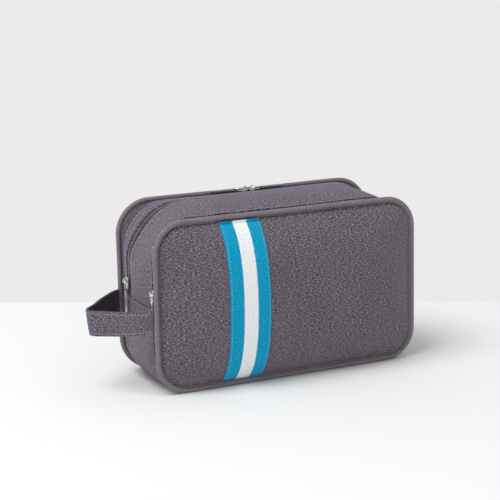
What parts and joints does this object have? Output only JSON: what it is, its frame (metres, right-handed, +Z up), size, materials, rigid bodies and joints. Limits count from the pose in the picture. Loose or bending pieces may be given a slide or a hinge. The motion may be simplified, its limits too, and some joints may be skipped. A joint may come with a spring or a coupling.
{
  "type": "makeup bag",
  "caption": "Padded zipped makeup bag with separate compartments, piped face panels, a striped webbing band and a loop handle at one end.",
  "frame": {"origin": "on the surface that the bag stands on, under the middle of its box, handle included", "axes": "+X along the bag away from the handle, +Y from the striped front to the back, +Z up"},
  "size_m": [0.3054, 0.1274, 0.1623],
  "materials": {
    "heather_cloth": "heathered woven polyester, matt",
    "piping": "smooth bias-cut cloth over a cord, low sheen",
    "striped_webbing": "woven webbing in blue, white and blue stripes",
    "lining": "plain lining cloth, slight sheen",
    "foam": "soft foam padding, matt",
    "zip_tape": "ribbed zip tape, matt",
    "zip_coil": "nylon coil, satin",
    "zip_metal": "satin nickel-plated die casting",
    "handle_backing": "plain webbing tape, matt"
  },
  "bodies": {
    "bag": {"lower_gusset": "heather_cloth", "middle_gusset": "heather_cloth", "front_edge_band": "heather_cloth", "rear_edge_band": "heather_cloth", "gusset_foam": "foam", "main_lining": "lining", "front_divider": "lining", "rear_divider_lower": "lining", "front_panel_lower": "heather_cloth", "front_foam_lower": "foam", "front_lining_lower": "lining", "front_piping_lower": "piping", "stripe_webbing_lower": "striped_webbing", "back_panel_lower": "heather_cloth", "back_foam_lower": "foam", "back_lining_lower": "lining", "back_piping_lower": "piping", "front_zip_bag_tape": "zip_tape", "front_zip_bag_coil": "zip_coil", "main_zip_bag_tape": "zip_tape", "main_zip_bag_coil": "zip_coil", "handle_strap": "heather_cloth", "handle_backing": "handle_backing"},
    "front_cover": {"front_panel_upper": "heather_cloth", "front_foam_upper": "foam", "front_lining_upper": "lining", "front_piping_upper": "piping", "stripe_webbing_upper": "striped_webbing", "front_zip_cover_tape": "zip_tape", "front_zip_cover_coil": "zip_coil"},
    "rear_section": {"back_gusset": "heather_cloth", "rear_divider_upper": "lining", "main_zip_rear_tape": "zip_tape", "main_zip_rear_coil": "zip_coil", "rear_zip_front_tape": "zip_tape", "rear_zip_front_coil": "zip_coil"},
    "back_cover": {"back_panel_upper": "heather_cloth", "back_foam_upper": "foam", "back_lining_upper": "lining", "back_piping_upper": "piping", "rear_zip_cover_tape": "zip_tape", "rear_zip_cover_coil": "zip_coil"},
    "front_zip_slider": {"front_zip_slider": "zip_metal"},
    "front_zip_pull": {"front_zip_pull": "zip_metal"},
    "main_zip_slider": {"main_zip_slider": "zip_metal"},
    "main_zip_pull": {"main_zip_pull": "zip_metal"},
    "rear_zip_left_slider": {"rear_zip_left_slider": "zip_metal"},
    "rear_zip_left_pull": {"rear_zip_left_pull": "zip_metal"},
    "rear_zip_right_slider": {"rear_zip_right_slider": "zip_metal"},
    "rear_zip_right_pull": {"rear_zip_right_pull": "zip_metal"}
  },
  "joints": [
    {"name": "front_cover_fold", "type": "hinge", "parent": "bag", "child": "front_cover", "pos_m": [0.02289, -0.06433, 0.076], "axis": [1, 0, 0], "range_deg": [0, 30]},
    {"name": "rear_section_fold", "type": "hinge", "parent": "bag", "child": "rear_section", "pos_m": [0.02289, 0.06397, 0.076], "axis": [-1, 0, 0], "range_deg": [0, 15]},
    {"name": "back_cover_fold", "type": "hinge", "parent": "rear_section", "child": "back_cover", "pos_m": [0.02289, 0.06397, 0.076], "axis": [-1, 0, 0], "range_deg": [0, 25]},
    {"name": "front_zip_travel", "type": "slide", "parent": "bag", "child": "front_zip_slider", "axis": [0, 0, 1], "range_m": [0, 0.027]},
    {"name": "main_zip_travel", "type": "slide", "parent": "bag", "child": "main_zip_slider", "axis": [0, 0, 1], "range_m": [0, 0.015]},
    {"name": "rear_zip_left_travel", "type": "slide", "parent": "rear_section", "child": "rear_zip_left_slider", "axis": [-1, 0, 0], "range_m": [0, 0.075]},
    {"name": "rear_zip_right_travel", "type": "slide", "parent": "rear_section", "child": "rear_zip_right_slider", "axis": [1, 0, 0], "range_m": [0, 0.075]},
    {"name": "front_zip_pull_swing", "type": "hinge", "parent": "front_zip_slider", "child": "front_zip_pull", "pos_m": [-0.10613, -0.03374, 0.0905], "axis": [-0.0637, 0.998, 0], "range_deg": [0, 8]},
    {"name": "main_zip_pull_swing", "type": "hinge", "parent": "main_zip_slider", "child": "main_zip_pull", "pos_m": [-0.10737, 0.02605, 0.0905], "axis": [0.0581, 0.9983, 0], "range_deg": [0, 30]},
    {"name": "rear_zip_left_pull_swing", "type": "hinge", "parent": "rear_zip_left_slider", "child": "rear_zip_left_pull", "pos_m": [0.01929, 0.04124, 0.16], "axis": [0, 0.9812, -0.1929], "range_deg": [0, 90]},
    {"name": "rear_zip_right_pull_swing", "type": "hinge", "parent": "rear_zip_right_slider", "child": "rear_zip_right_pull", "pos_m": [0.02649, 0.04124, 0.16], "axis": [0, -0.9812, 0.1929], "range_deg": [0, 90]}
  ]
}
